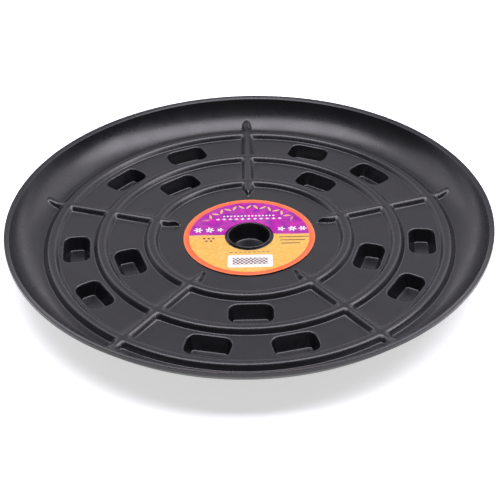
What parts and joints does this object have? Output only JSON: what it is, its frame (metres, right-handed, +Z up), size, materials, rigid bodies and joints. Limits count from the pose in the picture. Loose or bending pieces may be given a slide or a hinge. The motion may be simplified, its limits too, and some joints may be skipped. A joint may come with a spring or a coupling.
{
  "type": "plant saucer",
  "caption": "Round black plastic plant saucer with raised ring and radial ribs, hollow pocket feet, a flared wall with a flat sloping rim and a round paper label.",
  "frame": {"origin": "under the centre of the saucer, on the surface that the feet stand on", "axes": "+Z up along the saucer's axis; +Y towards the radial rib at the top of the picture's view, -Y towards the camera"},
  "size_m": [0.5334, 0.5334, 0.0502],
  "materials": {
    "black_plastic": "satin moulded black plastic with a fine even grain",
    "printed_paper": "printed paper with a light gloss, purple over golden orange inside a coral border"
  },
  "bodies": {
    "root": {"saucer_tray": "black_plastic", "paper_label": "printed_paper"}
  },
  "joints": []
}
